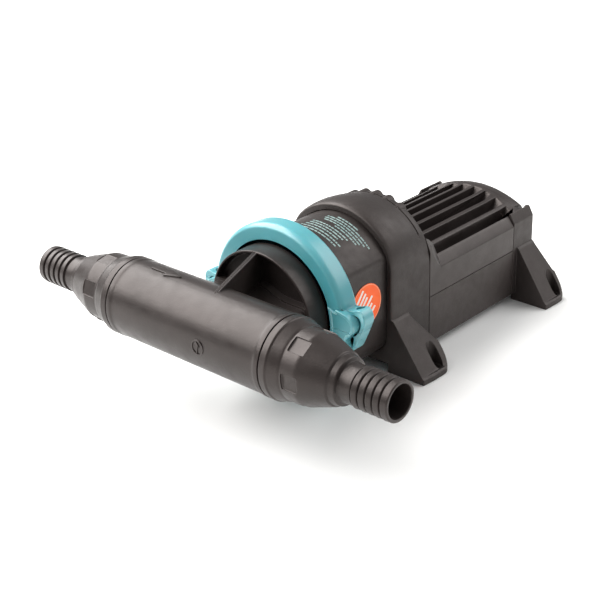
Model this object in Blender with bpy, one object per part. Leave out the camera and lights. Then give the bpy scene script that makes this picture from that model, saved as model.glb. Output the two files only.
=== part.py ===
"""Electric in-line diaphragm bilge pump: T manifold head, clamp ring, drive housing and motor.

Lengths are in millimetres and become metres where a mesh is made.
X runs along the T manifold in the direction of flow, +Y from the head to the motor, +Z up.
The pump stands on its four feet at z = 0, and the origin is under the middle of its box.
"""

import math

import bmesh
import bpy
from mathutils import Matrix, Vector

MM = 0.001
GAP = 0.3  # between pieces that touch
RUNNING = 0.08  # radial clearance of a shaft in its bush
PAST = 2.0  # how far a cutter runs past the wall that it cuts

# Head: T manifold, drum and end caps
RING_Z = 65.5  # height of the diaphragm's axis
TUBE_Y, TUBE_Z = -146.7, 77.0  # axis of the T manifold
TUBE_R, TUBE_BORE = 27.3, 23.5
SEAM_X = 70.0  # where the end caps meet the tube
TAIL_X = 160.0  # tip of a hose tail
TAIL_R, TAIL_BORE = 13.7, 11.0
DRUM_FRONT, DRUM_BACK, DRUM_R = -97.0, -74.8, 46.5
NECK_TOP = 82.0  # top of the neck, and the lower edge of the recess in the drum's face
FLANGE_R = 55.7  # flanges of drum and pump body inside the clamp ring
RING_FRONT, RING_BACK = -80.8, -64.1
RING_R, RING_LIP = 60.6, 47.2
EAR_X, CLAMP_SCREW_X = 77.6, 69.0

# Drive housing
BODY_R, BODY_HALF, BODY_BOTTOM = 49.2, 42.6, 13.0
BODY_FRONT = -71.0
COLLAR_FRONT, COLLAR_BACK = -13.0, 31.5
BOX_HALF, BOX_BOTTOM = 47.9, 7.0
SEAM_Z, LEDGE_Z = 45.0, 65.0  # tray to cover, top of the flat sides
TRAY_BACK, BRACKET_BACK = 140.2, 167.0
COVER_BACK = 162.5
FIN_TOP, FIN_ARCH_R = 84.5, 80.0
FIN_PITCH, FIN_WIDTH = 11.0, 3.0
FOOT_X = 78.0

# Drive
CRANK_Y = 4.0
THROW = 4.0  # the pin starts towards the head
WHEEL_X, WHEEL_TEETH, MODULE = 8.0, 24, 1.5
WORM_PITCH_R = 7.0
WHEEL_PITCH_R = MODULE * WHEEL_TEETH / 2
MOTOR_Z = RING_Z - WHEEL_PITCH_R - WORM_PITCH_R
MOTOR_R = 25.0
PIN_Y = CRANK_Y - THROW
PLATE_Y = -77.0  # diaphragm plates at rest, at the front of the stroke

BLACK, RUBBER_BLACK = (0.028, 0.026, 0.025), (0.012, 0.012, 0.012)
TEAL, ORANGE = (0.16, 0.56, 0.62), (0.95, 0.13, 0.03)
STEEL, ZINC, BRASS = (0.56, 0.57, 0.58), (0.38, 0.40, 0.42), (0.72, 0.50, 0.20)
COPPER, CARBON, FERRITE = (0.70, 0.30, 0.14), (0.02, 0.02, 0.02), (0.09, 0.09, 0.10)
NYLON, GREASED = (0.75, 0.73, 0.66), (0.45, 0.44, 0.42)


def clear_scene():
    for old in list(bpy.data.objects):
        bpy.data.objects.remove(old, do_unlink=True)


def material(name, colour, roughness, metallic):
    """A Principled material of one finish."""
    made = bpy.data.materials.new(name)
    made.use_nodes = True
    shader = made.node_tree.nodes["Principled BSDF"]
    shader.inputs["Base Color"].default_value = (*colour, 1.0)
    shader.inputs["Roughness"].default_value = roughness
    shader.inputs["Metallic"].default_value = metallic
    made.diffuse_color = (*colour, 1.0)
    return made


# ---------------------------------------------------------------- shapes

def to_object(bm, name="tool"):
    """Turns a bmesh into a closed object, still in millimetres, with its faces pointing out."""
    bmesh.ops.recalc_face_normals(bm, faces=bm.faces)
    mesh = bpy.data.meshes.new(name)
    bm.to_mesh(mesh)
    bm.free()
    made = bpy.data.objects.new(name, mesh)
    bpy.context.scene.collection.objects.link(made)
    return made


def place(axis, across, along):
    """A point from a 2D pair and a distance along an axis. The pair is in X, Y, Z order."""
    u, v = across
    return {"X": (along, u, v), "Y": (u, along, v), "Z": (u, v, along)}[axis]


def loft(sections, axis):
    """A solid through outlines of equal length: sections are (outline, distance along the axis)."""
    bm = bmesh.new()
    rings = [[bm.verts.new(place(axis, p, along)) for p in outline] for outline, along in sections]
    count = len(rings[0])
    for low, high in zip(rings, rings[1:]):
        for i in range(count):
            j = (i + 1) % count
            bm.faces.new((low[i], low[j], high[j], high[i]))
    bm.faces.new(rings[0])
    bm.faces.new(rings[-1])
    return to_object(bm)


def prism(outline, axis, low, high):
    return loft([(outline, low), (outline, high)], axis)


def box(low, high):
    (x0, y0, z0), (x1, y1, z1) = low, high
    return prism([(x0, y0), (x1, y0), (x1, y1), (x0, y1)], "Z", z0, z1)


def arc(centre, radius, start, end, steps):
    """Points on an arc, with angles in degrees."""
    angles = [math.radians(start + (end - start) * i / steps) for i in range(steps + 1)]
    return [(centre[0] + radius * math.cos(a), centre[1] + radius * math.sin(a)) for a in angles]


def circle(centre, radius, steps=32):
    return arc(centre, radius, 0.0, 360.0, steps)[:-1]


def rod(axis, centre, radius, low, high, steps=24):
    return prism(circle(centre, radius, steps), axis, low, high)


def obround(centre, length, width, steps=6):
    """A slot's outline, long along its first coordinate."""
    shift, radius = (length - width) / 2, width / 2
    right = arc((centre[0] + shift, centre[1]), radius, -90, 90, steps)
    return right + arc((centre[0] - shift, centre[1]), radius, 90, 270, steps)


def turned(profile, axis, centre, steps=48):
    """Turns a closed profile of (radius, distance along the axis) about an axis through centre."""
    bm = bmesh.new()
    rings = []
    for radius, along in profile:
        if radius == 0:
            rings.append([bm.verts.new(place(axis, centre, along))] * steps)
        else:
            rings.append([bm.verts.new(place(axis, p, along)) for p in circle(centre, radius, steps)])
    for low, high in zip(rings, rings[1:] + rings[:1]):
        for i in range(steps):
            j = (i + 1) % steps
            corners = list(dict.fromkeys((low[i], low[j], high[j], high[i])))
            if len(corners) > 2:
                bm.faces.new(corners)
    return to_object(bm)


def tube(axis, centre, inner, outer, low, high, steps=48):
    return turned([(inner, low), (outer, low), (outer, high), (inner, high)], axis, centre, steps)


def combine(base, operation, *tools):
    """Joins tools to base, cuts them from it or keeps what they share, and removes the tools."""
    for tool in tools:
        step = base.modifiers.new(operation, "BOOLEAN")
        step.operation, step.object, step.solver = operation, tool, "EXACT"
        view = bpy.context.evaluated_depsgraph_get()
        mesh = bpy.data.meshes.new_from_object(base.evaluated_get(view))
        base.modifiers.clear()
        base.data = mesh
        bpy.data.objects.remove(tool, do_unlink=True)
        bm = bmesh.new()
        bm.from_mesh(mesh)
        bmesh.ops.remove_doubles(bm, verts=bm.verts, dist=0.002)
        bm.to_mesh(mesh)
        bm.free()
    return base


def joined(base, *tools):
    return combine(base, "UNION", *tools)


def cut(base, *tools):
    return combine(base, "DIFFERENCE", *tools)


def shared(base, *tools):
    return combine(base, "INTERSECT", *tools)


def finished(made, name, finish, pivot=None, sharp=35.0):
    """Names a sub-part in metres, with its material and, where it moves, an origin on its axis."""
    made.name = made.data.name = name
    made.data.transform(Matrix.Scale(MM, 4))
    made.data.materials.clear()
    made.data.materials.append(finish)
    made.data.shade_smooth()
    made.data.set_sharp_from_angle(angle=math.radians(sharp))
    if pivot:
        origin = Vector(pivot) * MM
        made.data.transform(Matrix.Translation(-origin))
        made.location = origin
    return made


# ---------------------------------------------------------------- head

def manifold(plastic, pivot):
    """T tube, neck, drum and rib in one moulding."""
    axis = (TUBE_Y, TUBE_Z)
    swell = 0.5
    tube_outside = [(TUBE_R + 0.7, -SEAM_X), (TUBE_R + 0.7, -SEAM_X + 3), (TUBE_R, -SEAM_X + 5)]
    tube_outside += [(TUBE_R + swell, -20), (TUBE_R + swell, 20)]
    tube_outside += [(r, -x) for r, x in reversed(tube_outside[:3])]
    made = turned([(0, -SEAM_X), *tube_outside, (0, SEAM_X)], "X", axis, 32)
    ring = (0, RING_Z)
    drum = turned([(0, DRUM_FRONT), (DRUM_R, DRUM_FRONT), (DRUM_R, RING_FRONT + 2),
                   (FLANGE_R, RING_FRONT + 2.3), (FLANGE_R, DRUM_BACK), (0, DRUM_BACK)], "Y", ring, 40)
    recess = rod("Y", ring, DRUM_R - 2.2, DRUM_FRONT - PAST, DRUM_FRONT + 5.5, 40)
    cut(drum, shared(recess, box((-60, -120, NECK_TOP), (60, -80, 120))))
    neck = prism([(-34, 50), (34, 50), (40, 58), (40, NECK_TOP), (-40, NECK_TOP), (-40, 58)],
                 "Y", TUBE_Y + 6, DRUM_FRONT + 3)
    joined(made, drum, neck, manifold_rib())
    bore = rod("X", axis, TUBE_BORE, -SEAM_X - PAST, -3, 24)
    far_bore = rod("X", axis, TUBE_BORE, 3, SEAM_X + PAST, 24)
    chamber = rod("Y", ring, 42, DRUM_FRONT + 9, DRUM_BACK + PAST, 32)
    ports = [rod("Y", (side * 17, 72), 12.5, TUBE_Y, DRUM_FRONT + 10, 16) for side in (-1, 1)]
    cut(made, bore, far_bore, chamber, *ports)
    seats = [tube("X", axis, 19.5, TUBE_BORE + 1, side * 50.9 - 1.5, side * 50.9 + 1.5, 24)
             for side in (-1, 1)]
    joined(made, *seats)
    return finished(made, "head_manifold", plastic, pivot)


def manifold_rib():
    """Thin rib from the drum's rim to the crown of the tube, a little across the tube."""
    front = Vector((-3, DRUM_FRONT + 0.8))
    back = Vector((11, TUBE_Y + 1))
    along = (back - front).normalized()
    across = Vector((along.y, -along.x)) * 1.5
    inside = front - along * 7
    loop = [(back, TUBE_Z + TUBE_R + 1.4), (front, 111.4), (inside, 108.0), (inside, 84.0), (back, 84.0)]
    sides = [[(p.x + s * across.x, p.y + s * across.y, z) for p, z in loop] for s in (-1, 1)]
    bm = bmesh.new()
    rings = [[bm.verts.new(p) for p in side] for side in sides]
    for ring in rings:
        bm.faces.new(ring)
    for i in range(len(loop)):
        j = (i + 1) % len(loop)
        bm.faces.new((rings[0][i], rings[0][j], rings[1][j], rings[1][i]))
    return to_object(bm)


def cap_profile():
    """Outside of an end cap from its seam to the tip of its hose tail: (radius, x)."""
    outside = [(28.0, SEAM_X + GAP), (28.0, 74.0), (26.6, 74.6), (26.6, 75.8), (27.3, 76.4),
               (26.9, 84.5), (24.7, 87.5), (24.6, 95.0), (22.6, 103.0), (15.9, 121.5),
               (13.0, 126.5)]
    barbs, first = 5, 132.3
    pitch = (TAIL_X - first) / barbs
    outside.append((12.9, first - 0.4))
    for i in range(barbs):
        start = first + i * pitch
        outside += [(TAIL_R, start), (12.6, start + pitch - 0.6)]
    outside[-1] = (12.9, TAIL_X)
    return outside


def end_cap(side, name, plastic, pivot):
    """End cap with its hose tail, and a spigot with an O-ring groove inside the tube."""
    spigot_r = TUBE_BORE - GAP
    spigot = [(20.0, 56.0), (spigot_r, 56.0), (spigot_r, 61.4), (21.0, 61.4), (21.0, 65.0),
              (spigot_r, 65.0), (spigot_r, SEAM_X + GAP)]
    inside = [(TAIL_BORE, TAIL_X), (TAIL_BORE, 124.0), (20.0, 98.0)]
    loop = [(r, side * x) for r, x in spigot + cap_profile() + inside]
    made = turned(loop, "X", (TUBE_Y, TUBE_Z), 24)
    return finished(made, name, plastic, pivot)


def o_ring(side, name, rubber, pivot):
    """O-ring in the groove of an end cap's spigot."""
    section = circle((22.15, side * 63.2), 0.85, 5)
    made = turned(section, "X", (TUBE_Y, TUBE_Z), 20)
    return finished(made, name, rubber, pivot)


def duckbill_outline(half_width, half_height, steps=16):
    """A flattened round: (y, z) points round the manifold's axis."""
    return [(TUBE_Y + half_width * math.cos(2 * math.pi * i / steps),
             TUBE_Z + half_height * math.sin(2 * math.pi * i / steps)) for i in range(steps)]


def duckbill(base_x, name, rubber, pivot):
    """Duckbill valve: a flange, a tapering sleeve and flat lips that point along the flow."""
    wall = 1.6
    stations = [(0, 17.2, 17.2), (8, 17.2, 15.0), (16, 17.4, 9.5), (24, 17.8, 4.2), (30, 18.2, 2.2)]
    outer = [duckbill_outline(w, h) for _, w, h in stations]
    inner = [duckbill_outline(w - wall, max(h - wall, 0.35)) for _, w, h in stations]
    rim = circle((TUBE_Y, TUBE_Z), TUBE_BORE - 0.6, 16)
    start = base_x + 3.0
    loop = [(inner[0], base_x), (rim, base_x), (rim, start), (outer[0], start)]
    loop += [(outline, start + s[0]) for outline, s in list(zip(outer, stations))[1:]]
    loop += [(outline, start + s[0]) for outline, s in reversed(list(zip(inner, stations)))]
    bm = bmesh.new()
    rings = [[bm.verts.new((x, y, z)) for y, z in outline] for outline, x in loop]
    count = len(rings[0])
    for low, high in zip(rings, rings[1:] + rings[:1]):
        for i in range(count):
            j = (i + 1) % count
            bm.faces.new((low[i], low[j], high[j], high[i]))
    return finished(to_object(bm), name, rubber, pivot)


# ---------------------------------------------------------------- clamp ring and diaphragm

def ear_outline(side):
    """Clamp ear from the front, in X and Z: blunt at the top, running out to the ring below."""
    right = [(56.0, 79.6), (66.5, 80.4), (74.6, 77.6), (EAR_X, 74.2), (EAR_X, 68.5),
             (66.0, 50.4), (56.5, 50.4)]
    return [(side * x, z) for x, z in right]


def clamp_half(upper, name, plastic):
    """Half of the channel-section ring, with an ear on each side."""
    lip_back = RING_FRONT + 1.7
    channel_back = -66.2
    section = [(RING_LIP, RING_FRONT), (RING_R - 1.0, RING_FRONT), (RING_R, RING_FRONT + 1.0),
               (RING_R - 0.3, RING_BACK), (50.4, RING_BACK), (50.4, channel_back),
               (FLANGE_R + 0.5, channel_back), (FLANGE_R + 0.5, lip_back), (RING_LIP, lip_back)]
    made = turned(section, "Y", (0, RING_Z), 48)
    for side in (-1, 1):
        ear = prism(ear_outline(side), "Y", RING_FRONT + 2, RING_BACK - 1)
        inside = rod("Y", (0, RING_Z), FLANGE_R + 2, RING_FRONT, RING_BACK + PAST, 48)
        joined(made, cut(ear, inside))
    if upper:
        keep = box((-90, RING_FRONT - PAST, RING_Z + GAP / 2), (90, RING_BACK + PAST, 140))
    else:
        keep = box((-90, RING_FRONT - PAST, -10), (90, RING_BACK + PAST, RING_Z - GAP / 2))
    shared(made, keep)
    middle = (RING_FRONT + RING_BACK) / 2 + 0.5
    for side in (-1, 1):
        centre = (side * CLAMP_SCREW_X, middle)
        hole = rod("Z", centre, 2.2, 45, 90, 12)
        if upper:
            pocket = rod("Z", centre, 4.4, 75.5, 90, 16)
        else:
            pocket = prism(circle(centre, 4.6, 6), "Z", 40, 58.0)
        cut(made, hole, pocket)
    return finished(made, name, plastic)


def clamp_fasteners(side, tag, steel):
    """Clamp screw with its cap head in the upper ear, and its nut in the lower one."""
    centre = (side * CLAMP_SCREW_X, (RING_FRONT + RING_BACK) / 2 + 0.5)
    screw = joined(rod("Z", centre, 1.9, 55.0, 76.2, 12), rod("Z", centre, 3.8, 75.8, 79.6, 16))
    cut(screw, prism(circle(centre, 1.7, 6), "Z", 77.6, 82))
    finished(screw, f"clamp_screw_{tag}", steel)
    nut = prism(circle(centre, 4.1, 6), "Z", 54.4, 57.7)
    cut(nut, rod("Z", centre, 2.2, 50, 60, 12))
    finished(nut, f"clamp_nut_{tag}", steel)


def diaphragm(rubber):
    """Moulded diaphragm: clamped bead, rolled convolution and a flat middle."""
    thick = 1.8
    bead_front, bead_back = DRUM_BACK + GAP, BODY_FRONT - GAP
    front = [(3.4, PLATE_Y - thick / 2), (28.0, PLATE_Y - thick / 2)]
    front += [(28.0 + 11 * t, PLATE_Y - thick / 2 + 2.4 * math.sin(math.pi * t) + 2.6 * t)
              for t in (0.3, 0.7)]
    front += [(40.5, bead_front + 0.7), (43.0, bead_front)]
    back = [(r, y + thick) for r, y in front[:-1]] + [(43.0, bead_back)]
    rim = [(FLANGE_R - 0.7, bead_front), (FLANGE_R - 0.7, bead_back)]
    made = turned(front + rim + list(reversed(back)), "Y", (0, RING_Z), 24)
    return finished(made, "diaphragm", rubber)


# ---------------------------------------------------------------- housings

def arch(radius, half, bottom, corner, centre_z=RING_Z):
    """Arched outline in X and Z: flat sides and bottom, a round top about the diaphragm's axis."""
    lift = math.degrees(math.acos(min(1.0, half / radius)))
    points = arc((0, centre_z), radius, lift, 180 - lift, 14)
    points += arc((corner - half, bottom + corner), corner, 180, 270, 3)
    return points + arc((half - corner, bottom + corner), corner, 270, 360, 3)


def foot(side, front, root_back, tip_back, ramp_top):
    """Mounting foot: a ramp that falls from the housing's side to a slotted tip."""
    tip_round = 9.0
    plan = [(44, front), (FOOT_X - 0.8, front), (FOOT_X, front + 12)]
    plan += arc((FOOT_X - tip_round, tip_back - tip_round), tip_round, 0, 90, 5)
    plan += [(44, tip_back)]
    ramp = [(44, 0), (FOOT_X + 2, 0), (FOOT_X + 2, 3.5), (76.0, 3.5), (49.5, ramp_top), (44, ramp_top)]
    back = [(root_back, ramp_top), (root_back, ramp_top + 9), (tip_back + 20, ramp_top + 9),
            (tip_back + 20, 21), (tip_back - 2, 21)]
    made = prism([(side * x, y) for x, y in plan], "Z", 0, ramp_top)
    shared(made, prism([(side * x, z) for x, z in ramp], "Y", front - PAST, tip_back + PAST))
    cut(made, prism(back, "X", -90, 90))
    slot_y = (front + tip_back) / 2 + 6
    cut(made, prism(obround((side * 69.5, slot_y), 13, 9), "Z", 5, 50),
        prism(obround((side * 69.5, slot_y), 9.5, 5.5), "Z", -PAST, 10))
    return made


def pump_body(plastic):
    """Front drive housing: flange for the clamp ring and an arched shell that plugs into the collar."""
    spigot_back = COLLAR_FRONT + 7.0
    outline = arch(BODY_R, BODY_HALF, BODY_BOTTOM, 16)
    made = prism(outline, "Y", RING_BACK + 0.4, spigot_back)
    flange = turned([(0, BODY_FRONT), (FLANGE_R, BODY_FRONT), (FLANGE_R, -66.6), (50.0, -66.6),
                     (50.0, -60.0), (0, -60.0)], "Y", (0, RING_Z), 40)
    joined(made, flange)
    wall = 3.0
    inside = prism(arch(BODY_R - wall, BODY_HALF - wall, BODY_BOTTOM + wall, 13), "Y",
                   -60.0, spigot_back + PAST)
    cut(made, inside, rod("Y", (0, RING_Z), 39, BODY_FRONT - PAST, -55, 32))
    return finished(made, "pump_body", plastic)


def collar_shell():
    """Outside of the gear housing: its arch is fullest near the front and leans in to the back."""
    stations = [(COLLAR_FRONT, 53.4, 46.9), (COLLAR_FRONT + 3, 55.2, 47.9), (0.0, 55.6, 47.9),
                (20.0, 52.6, 47.9), (COLLAR_BACK, 50.6, 47.9)]
    return loft([(arch(r, half, BOX_BOTTOM, 9), y) for y, r, half in stations], "Y")


def gear_housing(plastic):
    """Collar round the gears, with the front feet, bearing bosses and a rear wall for the motor."""
    made = collar_shell()
    for k in (-2, -1, 0, 1, 2):
        turn = math.radians(90 - 13 * k)
        centre = (48.6 * math.cos(turn), RING_Z + 48.6 * math.sin(turn))
        joined(made, rod("Y", centre, 4.0, COLLAR_BACK - 7, COLLAR_BACK + 1.0, 8))
    for side in (-1, 1):
        joined(made, foot(side, COLLAR_FRONT, 6.0, 20.0, 42.0))
    socket_back = COLLAR_FRONT + 8.4
    socket = arch(BODY_R + GAP, BODY_HALF + GAP, BODY_BOTTOM - GAP, 16)
    inner = arch(46.6, 40.6, BODY_BOTTOM + 2, 14)
    cut(made, prism(socket, "Y", COLLAR_FRONT - PAST, socket_back),
        prism(inner, "Y", socket_back - PAST, COLLAR_BACK - 3),
        rod("Y", (WHEEL_X, MOTOR_Z), 9.0, COLLAR_BACK - 5, COLLAR_BACK + PAST, 24))
    bore = (CRANK_Y, RING_Z)
    for side in (-1, 1):
        boss = rod("X", bore, 8.5, side * 33.0, side * 43.0, 16)
        joined(made, boss)
        cut(made, rod("X", bore, 6.9, side * 31.0, side * 40.3, 20))
    for x in (WHEEL_X - 14, WHEEL_X + 14):
        cut(made, rod("Y", (x, MOTOR_Z), 2.2, COLLAR_BACK - 6, COLLAR_BACK + PAST, 10))
    return finished(made, "gear_housing", plastic)


def housing_gasket(rubber):
    """Flat gasket between the pump body's spigot and the shoulder in the collar."""
    front = COLLAR_FRONT + 7.3
    made = prism(arch(BODY_R - 0.3, BODY_HALF - 0.3, BODY_BOTTOM + 0.3, 16), "Y", front, front + 0.8)
    cut(made, prism(arch(47.2, 40.9, BODY_BOTTOM + 1.8, 14), "Y", front - PAST, front + PAST))
    return finished(made, "housing_gasket", rubber)


def cover_posts():
    """Centres of the four screws that hold the motor cover to the tray."""
    return [(side * 39.6, y) for side in (-1, 1) for y in (COLLAR_BACK + 9, TRAY_BACK - 9)]


def motor_tray(plastic):
    """Lower half of the motor box: a channel open at the top and at both ends."""
    low, high = COLLAR_BACK + GAP, TRAY_BACK
    made = box((-BOX_HALF, low, BOX_BOTTOM), (BOX_HALF, high, SEAM_Z - GAP))
    cut(made, box((-BOX_HALF + 3, low - PAST, BOX_BOTTOM + 3), (BOX_HALF - 3, high + PAST, 60)))
    for centre in cover_posts():
        joined(made, rod("Z", centre, 4.2, BOX_BOTTOM + 1, SEAM_Z - GAP, 12))
        cut(made, rod("Z", centre, 2.0, BOX_BOTTOM - PAST, SEAM_Z + PAST, 12),
            rod("Z", centre, 3.4, BOX_BOTTOM - PAST, BOX_BOTTOM + 3.2, 12))
    return finished(made, "motor_tray", plastic)


def fin_height(x):
    """Height of the fins' arch over the middle of the motor."""
    return FIN_TOP - FIN_ARCH_R + math.sqrt(FIN_ARCH_R**2 - x * x)


def cover_section(inset=0.0):
    """Outline of the motor cover over the seam: flat side, sloping band, arched top."""
    edge = 43.5 - inset
    xs = [edge - edge * i / 10 for i in range(21)]
    top = [(x, fin_height(x) - inset) for x in xs]
    side = BOX_HALF - inset
    return [(side, SEAM_Z), (side, LEDGE_Z), *top, (-side, LEDGE_Z), (-side, SEAM_Z)]


def motor_cover(plastic):
    """Finned upper half of the motor box, which runs back over the rear bracket's wall."""
    low = COLLAR_BACK + GAP
    made = prism(cover_section(), "Y", low, TRAY_BACK)
    back = [(p[0] * s, SEAM_Z + (p[1] - SEAM_Z) * s) for s in (0.93,) for p in cover_section(4.0)]
    tail = loft([(cover_section(4.0), TRAY_BACK - 3), (cover_section(4.0), COVER_BACK - 4),
                 (back, COVER_BACK)], "Y")
    joined(made, tail)
    for side in (-1, 1):
        gusset = [(low, LEDGE_Z - 4), (low, 88.0), (low + 3, 88.0), (low + 17, LEDGE_Z), (low + 17, 61)]
        x0, x1 = sorted((side * 43.0, side * BOX_HALF))
        joined(made, prism(gusset, "X", x0, x1))
    cut(made, box((-44.6, low - PAST, SEAM_Z - PAST), (44.6, COVER_BACK - 4, 61.5)),
        box((-30, low - PAST, 60), (34, COVER_BACK - 6, 68.0)))
    for k in range(-4, 4):
        slot_centre = (k + 0.5) * FIN_PITCH
        half = (FIN_PITCH - FIN_WIDTH) / 2
        floor = 70.6 if abs(slot_centre) < 32 else 66.0
        x0, x1 = max(slot_centre - half, -41.6), min(slot_centre + half, 41.6)
        slot = [(low + 7, floor), (low + 4, 95), (COVER_BACK - 8, 95), (COVER_BACK - 13, floor + 5),
                (COVER_BACK - 19, floor)]
        cut(made, prism(slot, "X", x0, x1))
    for centre in cover_posts():
        joined(made, rod("Z", centre, 4.2, SEAM_Z, 63.0, 12))
        cut(made, rod("Z", centre, 2.0, SEAM_Z - PAST, 58, 12))
    return finished(made, "motor_cover", plastic)


def rear_bracket(plastic):
    """End frame of the motor box, with the rear feet."""
    front = TRAY_BACK + GAP
    bottom = BOX_BOTTOM
    shell = [(BOX_HALF, bottom), (BOX_HALF, 70.0), (42.0, 74.0)]
    shell += [(x, fin_height(x) - 3.0) for x in (38, 28, 18, 8)]
    shell += [(-x, z) for x, z in reversed(shell)]
    made = prism(shell, "Y", front, BRACKET_BACK)
    inner = [(44.6, bottom + 3), (44.6, 66.0), (43.9, 90.0), (-43.9, 90.0), (-44.6, 66.0),
             (-44.6, bottom + 3)]
    cut(made, prism(inner, "Y", front - PAST, COVER_BACK + 0.5))
    for side in (-1, 1):
        joined(made, foot(side, front + 5, BRACKET_BACK, 174.7, 45.0))
        cut(made, rod("Y", (side * 38, 24), 2.2, COVER_BACK - PAST, BRACKET_BACK + PAST, 12))
    cut(made, rod("Y", (-20, 26), 5.2, COVER_BACK - PAST, BRACKET_BACK + PAST, 16))
    return finished(made, "rear_bracket", plastic)


def cable_gland(rubber):
    """Grommet in the rear bracket's wall, where the motor's leads come out."""
    profile = [(1.5, 160.8), (4.9, 160.8), (4.9, BRACKET_BACK + GAP), (7.4, BRACKET_BACK + GAP),
               (7.4, 169.4), (5.6, 171.0), (1.5, 171.0)]
    return finished(turned(profile, "Y", (-20, 26), 14), "cable_gland", rubber)


def screw(axis, centre, head, tip, name, steel, sizes=(3.1, 1.7)):
    """Screw along an axis, from the top of its head to its tip."""
    head_r, shank_r = sizes
    way = 1 if tip > head else -1
    neck = head + 2.2 * way
    profile = [(0, head), (head_r - 0.5, head), (head_r, head + 0.7 * way), (head_r, neck),
               (shank_r, neck), (shank_r, tip - 1.0 * way), (0, tip)]
    return finished(turned(profile, axis, centre, 10), name, steel)


def round_label(plastic):
    """Sticker on the flat side of the pump body."""
    made = rod("X", (-33.9, 63.7), 14.5, BODY_HALF + GAP, BODY_HALF + GAP + 0.4, 32)
    return finished(made, "round_label", plastic)


# ---------------------------------------------------------------- drive

def crank_parts(plastic, steel, pivot):
    """Cross shaft, eccentric and worm wheel."""
    at = (CRANK_Y, RING_Z)
    finished(rod("X", at, 4.0, -40.0, 40.0, 24), "cross_shaft", steel, pivot)
    hub = rod("X", (PIN_Y, RING_Z), 9.0, -4.5, 4.5, 36)
    cut(hub, rod("X", at, 4.0 + GAP, -10, 10, 20))
    finished(hub, "eccentric", steel, pivot)
    outline = []
    pitch = 2 * math.pi / WHEEL_TEETH
    root, tip = WHEEL_PITCH_R - 1.2 * MODULE, WHEEL_PITCH_R + 0.75 * MODULE
    for k in range(WHEEL_TEETH):
        middle = pitch * (k + 0.5)
        for radius, share in ((root, -0.33), (tip, -0.11), (tip, 0.11), (root, 0.33)):
            a = middle + share * pitch
            outline.append((radius * math.cos(a), radius * math.sin(a)))
    width = 5.0
    lead_angle = MODULE / 2 / WORM_PITCH_R
    twist = width * lead_angle / WHEEL_PITCH_R
    sections = []
    for along in (-0.5, 0.5):
        c, s = math.cos(along * twist * HAND), math.sin(along * twist * HAND)
        turned_points = [(CRANK_Y + u * c - v * s, RING_Z + u * s + v * c) for u, v in outline]
        sections.append((turned_points, WHEEL_X + along * width))
    wheel = loft(sections, "X")
    joined(wheel, rod("X", at, 7.0, WHEEL_X - 3.1, WHEEL_X + 5.5, 24))
    cut(wheel, rod("X", at, 4.0 + GAP, 0, 20, 20))
    finished(wheel, "worm_wheel", plastic, pivot)


HAND = 1.0  # right-handed worm


def worm(steel, pivot):
    """Single-start worm on the motor shaft, under the wheel."""
    lead = math.pi * MODULE
    steps, turns = 12, 4
    root, tip = WORM_PITCH_R - 1.0 * MODULE, WORM_PITCH_R + 0.8 * MODULE
    start = CRANK_Y - lead * turns / 2
    bm = bmesh.new()
    sections = []
    for i in range(steps * turns + 1):
        a = 2 * math.pi * i / steps
        along = start + lead * i / steps
        ring = []
        for radius, share in ((root - 0.6, -0.24), (tip, -0.12), (tip, 0.12), (root - 0.6, 0.24)):
            x = WHEEL_X + HAND * radius * math.sin(a)
            z = MOTOR_Z + radius * math.cos(a)
            ring.append(bm.verts.new((x, along + share * lead, z)))
        sections.append(ring)
    for low, high in zip(sections, sections[1:]):
        for i in range(4):
            j = (i + 1) % 4
            bm.faces.new((low[i], low[j], high[j], high[i]))
    bm.faces.new(sections[0])
    bm.faces.new(sections[-1])
    core = tube("Y", (WHEEL_X, MOTOR_Z), 2.5 + GAP, root, start - 4, CRANK_Y + lead * turns / 2 + 4, 18)
    made = joined(core, to_object(bm))
    return finished(made, "worm", steel, pivot)


def armature(steel, copper, pivot):
    """Motor shaft, slotted armature core and commutator."""
    at = (WHEEL_X, MOTOR_Z)
    finished(rod("Y", at, 2.5, CRANK_Y - 18, 124.0, 20), "motor_shaft", steel, pivot)
    outline = []
    poles = 7
    for k in range(poles):
        middle = 360.0 * k / poles
        outline += arc(at, 18.6, middle - 21, middle + 21, 4)
        outline += arc(at, 16.6, middle + 21, middle + 14, 1)
        outline += arc(at, 8.5, middle + 18, middle + 33.4, 1)
        outline += arc(at, 16.6, middle + 37.4, middle + 30.4, 1)
    core = prism(outline, "Y", 60, 98)
    cut(core, rod("Y", at, 2.5 + GAP, 50, 120, 16))
    finished(core, "armature_core", steel, pivot)
    drum = tube("Y", at, 2.5 + GAP, 7.0, 101, 112, 18)
    finished(drum, "commutator", copper, pivot)


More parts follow.
